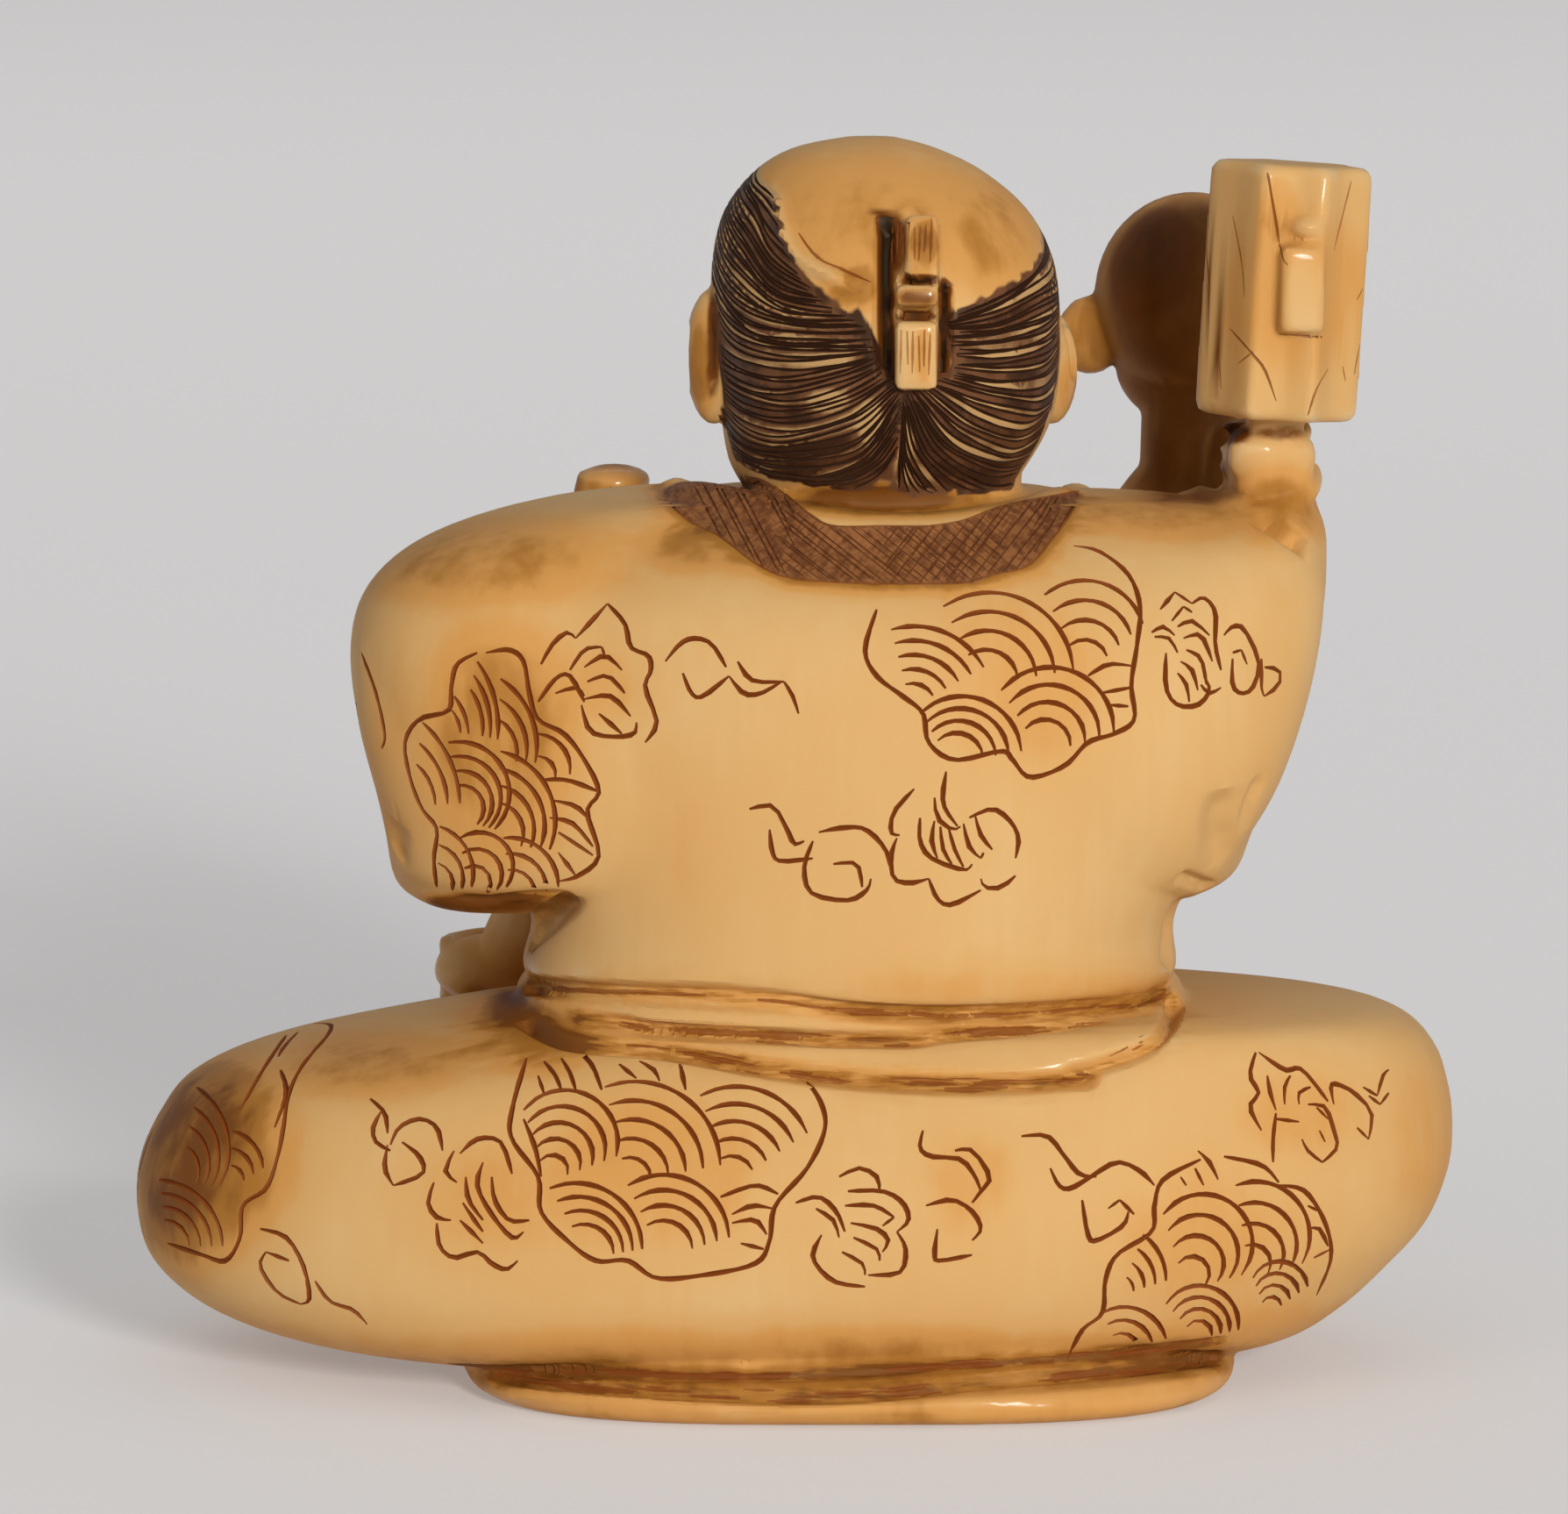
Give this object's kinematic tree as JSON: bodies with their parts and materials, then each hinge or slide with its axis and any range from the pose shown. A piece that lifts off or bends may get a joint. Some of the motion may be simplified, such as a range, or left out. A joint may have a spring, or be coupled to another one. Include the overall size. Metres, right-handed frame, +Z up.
{
  "type": "ivory netsuke of a seated carver",
  "caption": "Solid carved toggle: a seated carver in a patterned jacket with a raised mallet and a small robed figure, standing on a flat hem with cord holes beneath.",
  "frame": {"origin": "middle of the flat underside that the netsuke stands on, between the mouths of its cord tunnel", "axes": "+Z up, +Y the way the carver faces, +X towards the carver's right hand, which holds the mallet"},
  "size_m": [0.0455, 0.027, 0.0423],
  "materials": {
    "ivory": "hand-polished ivory, honey toned, with brown stain in the cut lines and hair"
  },
  "bodies": {
    "root": {"netsuke": "ivory"}
  },
  "joints": []
}
